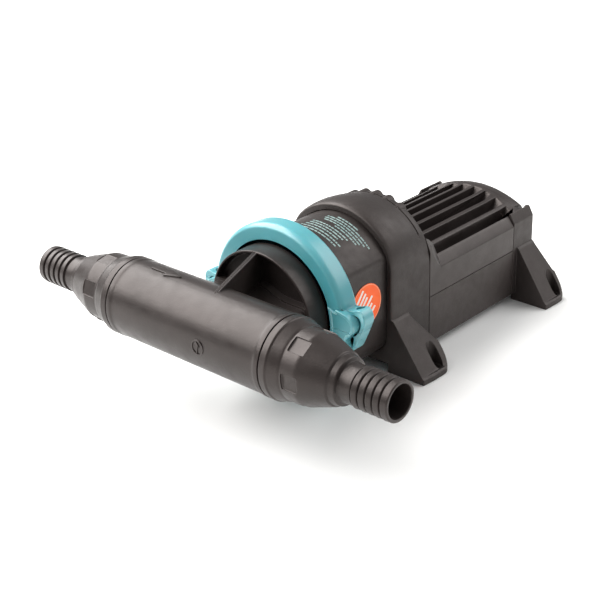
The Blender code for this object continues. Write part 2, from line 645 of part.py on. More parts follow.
def motor_frame(steel, ferrite, carbon, bronze):
    """Motor can, end plates, magnets, brushes and bearings."""
    at = (WHEEL_X, MOTOR_Z)
    finished(tube("Y", at, MOTOR_R - 1.6, MOTOR_R, 37.3, 118.0, 32), "motor_can", steel)
    plate = turned([(5.4, 26.5), (8.4, 26.5), (8.4, 33.0), (MOTOR_R, 33.0), (MOTOR_R, 37.0),
                    (5.4, 37.0)], "Y", at, 28)
    for x in (WHEEL_X - 14, WHEEL_X + 14):
        cut(plate, rod("Y", (x, MOTOR_Z), 1.4, 30, 40, 12))
    finished(plate, "motor_front_plate", steel)
    back = turned([(5.4, 118.3), (MOTOR_R, 118.3), (MOTOR_R, 122.0), (9.0, 122.0), (9.0, 126.0),
                   (5.4, 126.0)], "Y", at, 28)
    finished(back, "motor_rear_cap", steel)
    reach = RUNNING + 2.5
    finished(tube("Y", at, reach, 5.1, 26.7, 34.0, 20), "motor_bearing_front", bronze)
    finished(tube("Y", at, reach, 5.1, 118.5, 125.0, 20), "motor_bearing_rear", bronze)
    for side, tag in ((-1, "left"), (1, "right")):
        middle = 90 - 90 * side
        outline = arc(at, MOTOR_R - 1.9, middle - 62, middle + 62, 14)
        outline += arc(at, 19.4, middle + 62, middle - 62, 14)
        finished(prism(outline, "Y", 56, 102), f"field_magnet_{tag}", ferrite)
        x0, x1 = sorted((WHEEL_X + side * 7.3, WHEEL_X + side * 18.0))
        finished(box((x0, 103.5, MOTOR_Z - 3), (x1, 109.5, MOTOR_Z + 3)), f"brush_{tag}", carbon)


def rod_parts(plastic, bronze, zinc, steel, pivot):
    """Connecting rod, its bush, and the plates and screw that grip the diaphragm."""
    pin = (PIN_Y, RING_Z)
    inner_y = PLATE_Y + 0.9 + GAP
    made = rod("X", pin, 15.0, -4.2, 4.2, 28)
    shank = [(-5, -12), (5, -12), (4, PLATE_Y + 14), (4, inner_y + 3.0), (-4, inner_y + 3.0),
             (-4, PLATE_Y + 14)]
    joined(made, prism([(x, y) for x, y in shank], "Z", RING_Z - 5.5, RING_Z + 5.5),
           rod("Y", (0, RING_Z), 6.5, inner_y + 2.8, PLATE_Y + 14, 20))
    cut(made, rod("X", pin, 11.8, -10, 10, 28), rod("Y", (0, RING_Z), 2.3, PLATE_Y, PLATE_Y + 14, 12))
    finished(made, "connecting_rod", plastic, pivot)
    finished(tube("X", pin, 9.0 + RUNNING, 11.5, -4.0, 4.0, 36), "rod_bush", bronze, pivot)
    inner = [(2.5, inner_y), (25.0, inner_y), (26.0, inner_y + 1.6), (8.0, inner_y + 2.5),
             (2.5, inner_y + 2.5)]
    finished(turned(inner, "Y", (0, RING_Z), 24), "diaphragm_plate_inner", zinc, pivot)
    front = PLATE_Y - 0.9 - GAP
    outer = [(2.5, front), (25.0, front), (26.0, front - 1.4), (9.0, front - 2.4), (2.5, front - 2.4)]
    finished(turned(outer, "Y", (0, RING_Z), 24), "diaphragm_plate_outer", zinc, pivot)
    head = front - 2.4 - GAP
    bolt = [(0, head - 3.0), (4.2, head - 3.0), (4.8, head - 2.2), (4.8, head), (2.0, head),
            (2.0, PLATE_Y + 12), (0, PLATE_Y + 12)]
    finished(turned(bolt, "Y", (0, RING_Z), 14), "plate_screw", steel, pivot)


def build():
    clear_scene()
    black = material("black_glass_filled_plastic", BLACK, 0.45, 0.0)
    rubber = material("black_rubber", RUBBER_BLACK, 0.7, 0.0)
    teal = material("teal_plastic", TEAL, 0.35, 0.0)
    orange = material("orange_label", ORANGE, 0.4, 0.0)
    steel = material("steel", STEEL, 0.35, 1.0)
    zinc = material("zinc_plated_steel", ZINC, 0.45, 1.0)
    bronze = material("sintered_bronze", BRASS, 0.5, 1.0)
    copper = material("copper", COPPER, 0.35, 1.0)
    carbon = material("carbon", CARBON, 0.6, 0.0)
    ferrite = material("ferrite", FERRITE, 0.6, 0.0)
    nylon = material("white_nylon", NYLON, 0.5, 0.0)
    greased = material("moulded_rod", GREASED, 0.5, 0.0)

    head_pivot = (0, RING_FRONT, RING_Z)
    manifold(black, head_pivot)
    end_cap(-1, "inlet_cap", black, head_pivot)
    end_cap(1, "outlet_cap", black, head_pivot)
    o_ring(-1, "inlet_o_ring", rubber, head_pivot)
    o_ring(1, "outlet_o_ring", rubber, head_pivot)
    duckbill(-55.7, "inlet_valve", rubber, head_pivot)
    duckbill(52.7, "outlet_valve", rubber, head_pivot)

    clamp_half(True, "clamp_ring_upper", teal)
    clamp_half(False, "clamp_ring_lower", teal)
    clamp_fasteners(-1, "left", steel)
    clamp_fasteners(1, "right", steel)
    diaphragm(rubber)

    pump_body(black)
    gear_housing(black)
    housing_gasket(rubber)
    motor_tray(black)
    motor_cover(black)
    rear_bracket(black)
    cable_gland(rubber)
    round_label(orange)
    for k, centre in enumerate(cover_posts(), 1):
        screw("Z", centre, BOX_BOTTOM + 0.4, 56.0, f"cover_screw_{k}", steel)
    for side, tag in ((-1, "left"), (1, "right")):
        screw("Y", (side * 38, 24), BRACKET_BACK + 2.5, 150.0, f"bracket_screw_{tag}", steel)
        screw("Y", (WHEEL_X + side * 14, MOTOR_Z), COLLAR_BACK - 5.5, 36.0, f"motor_screw_{tag}",
              steel, (2.6, 1.1))

    crank_pivot = (0, CRANK_Y, RING_Z)
    crank_parts(nylon, steel, crank_pivot)
    for side, tag in ((-1, "left"), (1, "right")):
        x0, x1 = sorted((side * 33.5, side * 40.0))
        finished(tube("X", (CRANK_Y, RING_Z), 4.0 + RUNNING, 6.5, x0, x1, 24),
                 f"crank_bush_{tag}", bronze)
    rod_parts(greased, bronze, zinc, steel, (0, PIN_Y, RING_Z))

    motor_pivot = (WHEEL_X, CRANK_Y, MOTOR_Z)
    worm(steel, motor_pivot)
    armature(steel, copper, motor_pivot)
    motor_frame(zinc, ferrite, carbon, bronze)


build()
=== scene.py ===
"""Looks of the in-line diaphragm bilge pump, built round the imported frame.

Shapes are made in millimetres in the row frame and become metres when a piece is finished.
"""

import math

import bmesh
import bpy
from mathutils import Matrix, Vector
from mathutils.bvhtree import BVHTree


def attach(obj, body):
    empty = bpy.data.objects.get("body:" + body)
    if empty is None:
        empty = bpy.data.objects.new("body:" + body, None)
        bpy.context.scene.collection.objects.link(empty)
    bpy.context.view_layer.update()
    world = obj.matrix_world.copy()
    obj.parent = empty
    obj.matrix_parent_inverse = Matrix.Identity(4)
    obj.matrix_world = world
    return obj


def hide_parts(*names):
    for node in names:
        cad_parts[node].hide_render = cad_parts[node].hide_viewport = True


MM = 0.001
PAST = 3.0
SHARP_ANGLE = 40.0
SIDES = ((-1, "left"), (1, "right"))

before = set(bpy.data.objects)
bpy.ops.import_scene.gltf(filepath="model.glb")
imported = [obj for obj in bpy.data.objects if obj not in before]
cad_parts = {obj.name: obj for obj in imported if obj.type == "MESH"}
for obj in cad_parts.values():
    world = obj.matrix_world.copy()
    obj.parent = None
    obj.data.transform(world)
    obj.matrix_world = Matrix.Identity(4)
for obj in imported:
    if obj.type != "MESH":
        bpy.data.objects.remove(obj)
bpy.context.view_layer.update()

# Tube and end caps, with x along the tube.
TUBE_Y, TUBE_Z = TUBE_AXIS = (-146.7, 77.0)
TUBE_R, TUBE_END_R, TUBE_BORE, SEAM_X, TAIL_X = 27.4, 28.0, 23.5, 70.0, 160.0
BARB_X, BARB_PITCH, BARBS = 132.9, 5.58, 5
NOTCH_PHASE = {-1: 19.5, 1: -3.0}

# Drum and clamp ring, with y along the diaphragm's axis.
RING_Z = 65.5
RING_AXIS = (0, RING_Z)
DRUM_FRONT, DRUM_BACK, DRUM_R, FLANGE_R = -97.0, -74.8, 46.5, 55.7
NECK_TOP, NECK_HALF = 82.0, 38
RING_FRONT, RING_BACK, RING_R = -80.8, -64.1, 60.6
LIP_BACK, CHANNEL_BACK, RING_GAP = RING_FRONT + 1.7, -66.2, 0.08
BLOCK_FRONT, BLOCK_BACK, PANEL_Y = -81.8, -74.4, -81.0
STRAP_FRONT, STRAP_BACK, HOLLOW_BACK, EAR_TURN = -76.2, -65.8, -72.4, 8
CLAMP_BOLT_X, CLAMP_BOLT_Y, BOLT_SHIFT = 66.2, -69.4, {-1: -7.3, 1: 0}

# Housings, with their screws, gland and label.
BODY_R, BODY_HALF, BODY_BOTTOM, BODY_FRONT = 49.2, 42.6, 13.0, -71.0
COLLAR_FRONT, COLLAR_BACK = -13.0, 31.5
LOBE_R, LOBE_PITCH = 47.9, 13
BOX_HALF, BOX_BOTTOM, SEAM_Z, LEDGE_Z = 47.9, 7.0, 45.0, 65.0
MOTOR_FRONT, TRAY_BACK, BRACKET_BACK, COVER_BACK = COLLAR_BACK + 0.3, 140.2, 167.0, 162.5
FIN_TOP, FIN_ARCH_R, FIN_PITCH, FIN_WIDTH, CROWN_HALF = 84.5, 80.0, 11.0, 3.0, 43.5
FOOT_X, FOOT_ROOT, FOOT_SLOT_X = 78.0, 44, 69.5
WHEEL_X, MOTOR_Z, MOTOR_SCREW_X, CRANK_Y = 8.0, 40.5, 14, 4.0
POST_X, POST_INSET = 39.6, 9
BRACKET_SCREW_X, BRACKET_SCREW_Z, GLAND_AT = 38, 24, (-20, 26)
LABEL_AT, LABEL_R = (-35.2, 62.1), 16.2


# ---------------------------------------------------------------- shapes

def to_object(bm, name="tool"):
    bmesh.ops.recalc_face_normals(bm, faces=bm.faces)
    mesh = bpy.data.meshes.new(name)
    bm.to_mesh(mesh)
    bm.free()
    made = bpy.data.objects.new(name, mesh)
    bpy.context.scene.collection.objects.link(made)
    return made


def place(axis, across, along):
    """A point of an outline that stands across an axis, at a distance along it."""
    u, v = across
    return {"X": (along, u, v), "Y": (u, along, v), "Z": (u, v, along)}[axis]


def eased(points, steps=4, closed=True):
    """Rounds each corner given as (a, b, radius) in an outline or profile."""
    made = []
    count = len(points)
    for i, point in enumerate(points):
        here = Vector(point[:2])
        if len(point) < 3 or (not closed and i in (0, count - 1)):
            made.append(tuple(here))
            continue
        before = Vector(points[i - 1][:2]) - here
        after = Vector(points[(i + 1) % count][:2]) - here
        start = here + before.normalized() * min(point[2], before.length * 0.45)
        end = here + after.normalized() * min(point[2], after.length * 0.45)
        for k in range(steps + 1):
            t = k / steps
            made.append(tuple(start * (1 - t) ** 2 + here * 2 * t * (1 - t) + end * t * t))
    return made


def inset(outline, distance):
    """The outline moved in by a distance, corner by corner."""
    area = sum(a[0] * b[1] - b[0] * a[1] for a, b in zip(outline, outline[1:] + outline[:1]))
    way = 1 if area > 0 else -1
    made = []
    for i, point in enumerate(outline):
        here = Vector(point)
        into = (here - Vector(outline[i - 1])).normalized()
        out = (Vector(outline[(i + 1) % len(outline)]) - here).normalized()
        first = Vector((-into.y, into.x)) * way
        middle = (first + Vector((-out.y, out.x)) * way).normalized()
        made.append(tuple(here + middle * distance / max(0.5, middle.dot(first))))
    return made


def mirrored(points):
    """The points in reverse order on the other side, so that an outline runs on round."""
    return [(-point[0], *point[1:]) for point in reversed(points)]


def skin(sections):
    """A closed shell over rings that all have the same number of points."""
    bm = bmesh.new()
    rings = [[bm.verts.new(point) for point in section] for section in sections]
    count = len(rings[0])
    for low, high in zip(rings, rings[1:]):
        for i in range(count):
            j = (i + 1) % count
            bm.faces.new((low[i], low[j], high[j], high[i]))
    bm.faces.new(rings[0])
    bm.faces.new(rings[-1])
    return to_object(bm)


def loft(sections, axis):
    return skin([[place(axis, p, along) for p in outline] for outline, along in sections])


def prism(outline, axis, low, high, edge=0.0, ends=(True, True)):
    """A prism; the edges of the chosen ends are rounded by edge."""
    if not edge:
        return loft([(outline, low), (outline, high)], axis)
    turns = [math.radians(a) for a in (0, 22.5, 45, 67.5, 90)]
    lower = [(inset(outline, edge * (1 - math.sin(a))), low + edge * (1 - math.cos(a))) for a in turns]
    upper = [(inset(outline, edge * (1 - math.sin(a))), high - edge * (1 - math.cos(a))) for a in turns]
    sections = lower if ends[0] else [(outline, low)]
    sections += upper[::-1] if ends[1] else [(outline, high)]
    return loft(sections, axis)


def box(low, high, edge=0.0):
    (x0, y0, z0), (x1, y1, z1) = low, high
    outline = [(x0, y0), (x1, y0), (x1, y1), (x0, y1)]
    if edge:
        outline = eased([(*p, edge) for p in outline])
    return prism(outline, "Z", z0, z1, edge)


def arc(centre, radius, start, end, steps):
    angles = [math.radians(start + (end - start) * i / steps) for i in range(steps + 1)]
    return [(centre[0] + radius * math.cos(a), centre[1] + radius * math.sin(a)) for a in angles]


def circle(centre, radius, steps=48):
    return arc(centre, radius, 0.0, 360.0, steps)[:-1]


def rod(axis, centre, radius, low, high, steps=48, edge=0.0):
    return prism(circle(centre, radius, steps), axis, low, high, edge)


def obround(centre, length, width, steps=10):
    shift, radius = (length - width) / 2, width / 2
    right = arc((centre[0] + shift, centre[1]), radius, -90, 90, steps)
    return right + arc((centre[0] - shift, centre[1]), radius, 90, 270, steps)


def turned(profile, axis, centre, steps=96):
    """A closed (radius, along) profile turned about an axis."""
    bm = bmesh.new()
    rings = []
    for radius, along in profile:
        if radius == 0:
            rings.append([bm.verts.new(place(axis, centre, along))] * steps)
        else:
            rings.append([bm.verts.new(place(axis, p, along)) for p in circle(centre, radius, steps)])
    for low, high in zip(rings, rings[1:] + rings[:1]):
        for i in range(steps):
            j = (i + 1) % steps
            corners = list(dict.fromkeys((low[i], low[j], high[j], high[i])))
            if len(corners) > 2:
                bm.faces.new(corners)
    return to_object(bm)


def combine(base, operation, *tools):
    """Applies one Boolean per tool to the base and removes the tools."""
    for tool in tools:
        step = base.modifiers.new(operation, "BOOLEAN")
        step.operation, step.object, step.solver = operation, tool, "EXACT"
        view = bpy.context.evaluated_depsgraph_get()
        mesh = bpy.data.meshes.new_from_object(base.evaluated_get(view))
        base.modifiers.clear()
        base.data = mesh
        bpy.data.objects.remove(tool, do_unlink=True)
        bm = bmesh.new()
        bm.from_mesh(mesh)
        bmesh.ops.remove_doubles(bm, verts=bm.verts, dist=0.002)
        bm.to_mesh(mesh)
        bm.free()
    return base


def joined(base, *tools):
    return combine(base, "UNION", *tools)


def cut(base, *tools):
    return combine(base, "DIFFERENCE", *tools)


def shared(base, *tools):
    return combine(base, "INTERSECT", *tools)


def merged(*objects):
    """Several closed shells as one mesh."""
    bm = bmesh.new()
    for part in objects:
        bm.from_mesh(part.data)
        bpy.data.objects.remove(part, do_unlink=True)
    return to_object(bm)


def softened(made, width=0.5, angle=32.0, segments=2):
    """Small rounds on sharp edges. A point thrown clear of the old surface goes back to it."""
    bm = bmesh.new()
    bm.from_mesh(made.data)
    bmesh.ops.dissolve_limit(bm, angle_limit=math.radians(0.4), verts=bm.verts, edges=bm.edges)
    bmesh.ops.remove_doubles(bm, verts=bm.verts, dist=0.03)
    bm.to_mesh(made.data)
    surface = BVHTree.FromBMesh(bm)
    bm.free()
    step = made.modifiers.new("edges", "BEVEL")
    step.width, step.segments, step.limit_method = width, segments, "ANGLE"
    step.angle_limit = math.radians(angle)
    step.use_clamp_overlap = False
    step.harden_normals = False
    view = bpy.context.evaluated_depsgraph_get()
    made.data = bpy.data.meshes.new_from_object(made.evaluated_get(view))
    made.modifiers.clear()
    for vertex in made.data.vertices:
        near, _, _, gap = surface.find_nearest(vertex.co)
        if gap > width * 0.8:
            vertex.co = near
    return made


def piece(made, name, finish, slot, body, *nodes, weighted=True):
    """Finishes a piece: metres, material, smooth faces, its body and the CAD nodes it stands for."""
    made.name = made.data.name = name
    made.data.transform(Matrix.Scale(MM, 4))
    made.data.materials.clear()
    made.data.materials.append(finish)
    made.data.shade_smooth()
    made.data.set_sharp_from_angle(angle=math.radians(SHARP_ANGLE))
    if weighted:
        made.modifiers.new("normals", "WEIGHTED_NORMAL").keep_sharp = True
    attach(made, body)
    if nodes:
        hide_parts(*nodes)
    return made


# ---------------------------------------------------------------- materials

class Finish:
    """A Principled material whose inputs come from procedural textures in object space."""

    def __init__(self, name, roughness=0.5, metallic=0.0):
        self.material = bpy.data.materials.new(name)
        self.material.use_nodes = True
        self.tree = self.material.node_tree
        self.shader = self.tree.nodes["Principled BSDF"]
        self.shader.inputs["Roughness"].default_value = roughness
        self.shader.inputs["Metallic"].default_value = metallic
        self.space = self.tree.nodes.new("ShaderNodeTexCoord").outputs["Object"]
        self.height = None

    def link(self, out, into):
        self.tree.links.new(out, into)

    def noise(self, scale, detail=2.0, stretch=(1, 1, 1), rough=0.5):
        """Noise from 0 to 1; scale counts features per metre."""
        space = self.tree.nodes.new("ShaderNodeMapping")
        space.inputs["Scale"].default_value = stretch
        self.link(self.space, space.inputs["Vector"])
        node = self.tree.nodes.new("ShaderNodeTexNoise")
        node.inputs["Scale"].default_value = scale
        node.inputs["Detail"].default_value = detail
        node.inputs["Roughness"].default_value = rough
        self.link(space.outputs[0], node.inputs["Vector"])
        return node.outputs["Fac"]

    def fit(self, value, low, high, to_low=0.0, to_high=1.0):
        """Maps low..high to to_low..to_high, and holds what is outside at the ends."""
        node = self.tree.nodes.new("ShaderNodeMapRange")
        for key, number in zip(("From Min", "From Max", "To Min", "To Max"), (low, high, to_low, to_high)):
            node.inputs[key].default_value = number
        self.link(value, node.inputs["Value"])
        return node.outputs[0]

    def mix(self, share, first, second):
        node = self.tree.nodes.new("ShaderNodeMix")
        node.data_type = "RGBA"
        self.link(share, node.inputs["Factor"])
        for key, colour in (("A", first), ("B", second)):
            socket = [s for s in node.inputs if s.name == key and s.type == "RGBA"][0]
            if isinstance(colour, tuple):
                socket.default_value = (*colour, 1.0)
            else:
                self.link(colour, socket)
        return [s for s in node.outputs if s.type == "RGBA"][0]

    def colour(self, value):
        if isinstance(value, tuple):
            self.shader.inputs["Base Color"].default_value = (*value, 1.0)
        else:
            self.link(value, self.shader.inputs["Base Color"])

    def roughness(self, value):
        self.link(value, self.shader.inputs["Roughness"])

    def edges(self):
        """0 on flats and 1 along raised edges."""
        return self.fit(self.tree.nodes.new("ShaderNodeNewGeometry").outputs["Pointiness"], 0.51, 0.60)

    def bump(self, value, strength, distance):
        node = self.tree.nodes.new("ShaderNodeBump")
        node.inputs["Strength"].default_value = strength
        node.inputs["Distance"].default_value = distance
        self.link(value, node.inputs["Height"])
        if self.height is not None:
            self.link(self.height, node.inputs["Normal"])
        self.height = node.outputs["Normal"]
        self.link(self.height, self.shader.inputs["Normal"])

    def set(self, **numbers):
        for key, number in numbers.items():
            self.shader.inputs[key.replace("_", " ")].default_value = number


def moulded(name, dark, light, low=0.40, high=0.54, grain=1.0):
    """Glass-filled plastic: mottled tone, faint fibres, spark texture, and paler edges that are partly
    wear and partly a painted highlight along raised edges.
    """
    f = Finish(name)
    tone = f.mix(f.fit(f.noise(22, 4), 0.35, 0.65), dark, light)
    fibres = f.fit(f.noise(900, 3, (1, 1, 1), 0.7), 0.60, 0.74, 0.0, 0.45)
    tone = f.mix(fibres, tone, tuple(min(1, c * 2.3) for c in light))
    # Paler raised edges: partly wear, partly a painted highlight.
    painted_highlight_and_wear = f.fit(f.edges(), 0.0, 1.0, 0.0, 0.35)
    f.colour(f.mix(painted_highlight_and_wear, tone, tuple(min(1, c * 2.6 + 0.01) for c in light)))
    f.roughness(f.fit(f.noise(140, 4), 0.3, 0.7, low, high))
    f.bump(f.noise(70, 2), 0.10 * grain, 0.0006)
    f.bump(f.noise(520, 2), 0.22 * grain, 0.00025)
    f.bump(f.noise(1500, 3), 0.25 * grain, 0.0002)
    f.set(Specular_IOR_Level=0.42, Specular_Tint=(1.0, 0.90, 0.865, 1.0))
    return f.material


def rubber(name, colour):
    f = Finish(name)
    f.colour(f.mix(f.fit(f.noise(60, 5), 0.35, 0.7), colour, tuple(c * 1.9 for c in colour)))
    f.roughness(f.fit(f.noise(300, 3), 0.3, 0.7, 0.62, 0.82))
    f.bump(f.noise(1800, 3), 0.25, 0.00015)
    return f.material


def metal(name, colour, low, high, stretch, tint=1.25, scale=400, specks=0.0):
    """Machined or sintered metal, with tool marks along the stretched direction."""
    f = Finish(name, metallic=1.0)
    marks = f.noise(scale, 4, stretch)
    tone = f.mix(f.fit(marks, 0.3, 0.7), colour, tuple(min(1, c * tint) for c in colour))
    if specks:
        pits = f.fit(f.noise(1600, 2), 0.55, 0.7, 0.0, specks)
        tone = f.mix(pits, tone, tuple(c * 0.35 for c in colour))
    f.colour(tone)
    f.roughness(f.fit(marks, 0.3, 0.7, low, high))
    f.bump(marks, 0.12, 0.0001)
    return f.material


def ring_plastic():
    f = Finish("ring_teal")
    base, pale = (0.060, 0.290, 0.330), (0.085, 0.340, 0.380)
    tone = f.mix(f.fit(f.noise(16, 3), 0.3, 0.7), base, pale)
    # Pale raised edges: partly wear, partly a painted highlight.
    painted_highlight_and_wear = f.fit(f.edges(), 0.0, 1.0, 0.0, 0.5)
    f.colour(f.mix(painted_highlight_and_wear, tone, (0.42, 0.78, 0.82)))
    f.roughness(f.fit(f.noise(160, 4), 0.3, 0.7, 0.28, 0.38))
    f.bump(f.noise(60, 2), 0.06, 0.0006)
    f.bump(f.noise(1500, 3), 0.10, 0.0001)
    f.set(Subsurface_Weight=0.12, Subsurface_Scale=0.002, Coat_Weight=0.5, Coat_Roughness=0.3)
    return f.material


def vinyl(name, colour, other):
    f = Finish(name)
    f.colour(f.mix(f.fit(f.noise(90, 4), 0.35, 0.7), colour, other))
    f.roughness(f.fit(f.noise(500, 3), 0.3, 0.7, 0.30, 0.42))
    f.bump(f.noise(700, 2), 0.06, 0.0001)
    f.set(Specular_IOR_Level=0.3)
    return f.material


BLACK = moulded("black_moulded", (0.015, 0.0118, 0.0108), (0.023, 0.0182, 0.0170), 0.30, 0.42)
BODY_BLACK = moulded("body_moulded", (0.0155, 0.0123, 0.0114), (0.0235, 0.0190, 0.0178), 0.40, 0.54, 1.4)
TEAL = ring_plastic()
RUBBER = rubber("rubber_black", (0.012, 0.0115, 0.011))
LABEL = vinyl("label_orange", (0.97, 0.115, 0.012), (1.0, 0.145, 0.020))
LABEL_EDGE = vinyl("label_edge", (0.95, 0.28, 0.14), (0.98, 0.34, 0.18))
LABEL_WHITE = vinyl("label_white", (0.86, 0.72, 0.66), (0.92, 0.82, 0.76))
PRINT = vinyl("print_pale", (0.21, 0.31, 0.30), (0.29, 0.39, 0.375))
STEEL = metal("steel_bright", (0.56, 0.57, 0.58), 0.22, 0.40, (1, 14, 1))
ZINC = metal("zinc_plate", (0.40, 0.42, 0.44), 0.34, 0.52, (3, 3, 3), 1.3, 120)
BRONZE = metal("bronze_sintered", (0.68, 0.46, 0.20), 0.40, 0.58, (1, 1, 1), 1.2, 700, 0.6)
COPPER = metal("copper_turned", (0.72, 0.33, 0.17), 0.24, 0.42, (1, 16, 1))
CARBON = rubber("carbon_pressed", (0.018, 0.018, 0.018))
FERRITE = rubber("ferrite_ground", (0.075, 0.075, 0.082))
NYLON = vinyl("nylon_natural", (0.70, 0.67, 0.58), (0.78, 0.76, 0.68))
ACETAL = vinyl("acetal_grey", (0.40, 0.39, 0.37), (0.48, 0.47, 0.45))

INNER = {
    RUBBER: ["inlet_o_ring", "outlet_o_ring", "inlet_valve", "outlet_valve", "diaphragm",
             "housing_gasket"],
    STEEL: ["cross_shaft", "eccentric", "worm", "motor_shaft", "armature_core", "plate_screw"],
    ZINC: ["motor_can", "motor_front_plate", "motor_rear_cap", "diaphragm_plate_inner",
           "diaphragm_plate_outer"],
    BRONZE: ["crank_bush_left", "crank_bush_right", "rod_bush", "motor_bearing_front",
             "motor_bearing_rear"],
    COPPER: ["commutator"],
    CARBON: ["brush_left", "brush_right"],
    FERRITE: ["field_magnet_left", "field_magnet_right"],
    NYLON: ["worm_wheel"],
    ACETAL: ["connecting_rod"],
}
for finish, names in INNER.items():
    for name in names:
        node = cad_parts[name]
        node.data.materials.clear()
        node.data.materials.append(finish)


# ---------------------------------------------------------------- head

def wrapped(stations, centre_angle, inner, outer, steps=8):
    """A raised plate on the tube: stations are (x, angle from, angle to) round the tube's axis."""
    sections = []
    for x, low, high in stations:
        turns = [math.radians(centre_angle + low + (high - low) * i / steps) for i in range(steps + 1)]
        top = [(TUBE_Y - outer * math.sin(a), TUBE_Z + outer * math.cos(a)) for a in turns]
        under = [(TUBE_Y - inner * math.sin(a), TUBE_Z + inner * math.cos(a)) for a in reversed(turns)]
        sections.append((top + under, x))
    return loft(sections, "X")


def neck_top(x):
    """Height of the neck's top: a low crown where the rib stands."""
    return NECK_TOP + 0.4 + 6.5 * math.exp(-((x / 13) ** 2))


def neck_crown():
    return [(x, neck_top(x)) for x in range(-NECK_HALF, NECK_HALF + 1, 2)]


def tube():
    half = [(TUBE_END_R, SEAM_X, 0.6), (TUBE_END_R, 66.8, 1.2), (TUBE_R + 0.1, 65.0, 2.0)]
    outside = [(r, -x, ease) for r, x, ease in half] + [(TUBE_R + 0.3, 0)] + half[::-1]
    profile = [(0, -SEAM_X), *eased(outside, closed=False), (0, SEAM_X)]
    return turned(profile, "X", TUBE_AXIS, 112)


def drum():
    """The drum behind the tube; its front pocket is cut only above the neck."""
    step_r, step_y, flange_y = 50.6, RING_FRONT + 5, RING_FRONT + 2.3
    made = turned(eased([(0, DRUM_FRONT), (DRUM_R, DRUM_FRONT, 0.9), (DRUM_R + 0.3, step_y, 0.4),
                         (step_r, step_y, 0.4), (step_r, flange_y, 0.4), (FLANGE_R, flange_y, 0.4),
                         (FLANGE_R, DRUM_BACK, 0.4), (0, DRUM_BACK)]), "Y", RING_AXIS, 128)
    lip, floor = DRUM_R - 1.7, DRUM_FRONT + 6.2
    pocket = turned(eased([(0, DRUM_FRONT - PAST), (lip + 0.9, DRUM_FRONT - PAST),
                           (lip, DRUM_FRONT + 0.5, 0.8), (lip - 0.6, floor, 1.6), (0, floor)]),
                    "Y", RING_AXIS, 112)
    side, top = neck_top(NECK_HALF), 130
    above = prism([(60, side), (60, top), (-60, top), (-60, side), *neck_crown()], "Y", -120, -80)
    return cut(made, shared(pocket, above))


def neck():
    """The block between tube and drum; its top lies a little under the crown."""
    left = [(-40.4, NECK_TOP - 1.9), (-40.2, 60, 6), (-33, 50.5, 2)]
    flanks = eased(left + mirrored(left), closed=False)
    top = [(x, z - 1.3) for x, z in reversed(neck_crown())]
    return prism(flanks + top, "Y", TUBE_Y + 6, DRUM_FRONT + 3)


def rib():
    """The rib between the drum's pocket and the tube, with a groove along its crest."""
    front, back = Vector((-3, DRUM_FRONT + 0.6)), Vector((11.5, TUBE_Y - 2.5))
    along = (back - front).normalized()
    across = Vector((along.y, -along.x))
    inside = front - along * 6.5
    tube_top, crest, foot_z = TUBE_Z + TUBE_R, 90, 80.0
    outline = [(back, tube_top + 0.2), (front + (back - front) * 0.93, tube_top + 1.3),
               (front, 111.6), (inside, 110.0), (inside, foot_z), (back, foot_z)]
    half = [(-1.75, 0.5), (-1.6, 0.15), (-1.3, 0.0), (-0.8, 0.0), (-0.5, 0.7)]
    sections = []
    for shift, drop in half + mirrored(half):
        sections.append([(p.x + shift * across.x, p.y + shift * across.y,
                          z - (drop if z > crest else 0)) for p, z in outline])
    return skin(sections)


def flow_arrow():
    stations = [(-50.0, -6.5, 1.2), (-49.6, -7.0, 1.7), (-36.0, -7.0, 1.7), (-35.9, -11.8, 6.6),
                (-35.4, -12.0, 6.8), (-23.4, -3.6, -1.4), (-23.0, -3.2, -1.8)]
    return wrapped(stations, 2.6, 26.8, 28.7)


def manifold():
    made = joined(tube(), drum(), neck(), rib())
    bores = [rod("X", TUBE_AXIS, TUBE_BORE, s * 3, s * (SEAM_X + PAST), 64) for s in (-1, 1)]
    chamber = rod("Y", RING_AXIS, 42, DRUM_FRONT + 9, DRUM_BACK + PAST, 64)
    ports = [rod("Y", (s * 17, 68), 12.0, TUBE_Y, DRUM_FRONT + 10, 32) for s in (-1, 1)]
    cut(made, *bores, chamber, *ports)
    joined(made, flow_arrow())
    softened(made, 0.35, 42)
    piece(made, "manifold_shell", BLACK, "black_glass_filled_plastic", "head", "head_manifold")


def mould_mark():
    """A raised ring with a plain stroke in it, on the front of the tube."""
    face, root, stroke_root = -27.95, -26.8, -26.5
    profile = eased([(4.4, root), (4.4, face, 0.3), (5.3, face, 0.3), (5.3, root)])
    mark = turned(profile, "Y", (17.8, 77.5), 40)
    mark.data.transform(Matrix.Translation((0, TUBE_Y, 0)))
    outline = eased([(16.6, 73.6, 0.3), (17.6, 73.4, 0.3), (18.4, 78.6), (19.8, 78.2, 0.3),
                     (17.0, 81.6, 0.3), (15.0, 79.4, 0.3), (16.5, 79.1)])
    stroke = prism(outline, "Y", TUBE_Y + face, TUBE_Y + stroke_root, 0.2)
    piece(merged(mark, stroke), "mould_mark", BLACK, "black_glass_filled_plastic", "head")


def hose_barbs():
    """Ribs of the hose tail; the last one runs straight to the end face."""
    made = []
    for i in range(BARBS):
        start = BARB_X + i * BARB_PITCH
        made += [(13.75, start, 0.35), (13.35, start + 3.7, 0.35), (12.2, start + 4.3, 0.2),
                 (12.2, start + 5.2, 0.2)]
    made[-3:] = [(13.5, TAIL_X, 0.8)]
    return made


def shoulder_notches(side):
    low, high = sorted((side * 86.6, side * 99.2))
    made = []
    for k in range(6):
        angle = math.radians(NOTCH_PHASE[side] + 60 * k)
        tool = box((low, -5.6, 23.2), (high, 5.6, 32.0), 0.8)
        spin = Matrix.Rotation(math.pi / 2 - angle, 4, "X")
        tool.data.transform(Matrix.Translation((0, *TUBE_AXIS)) @ spin)
        made.append(tool)
    return made


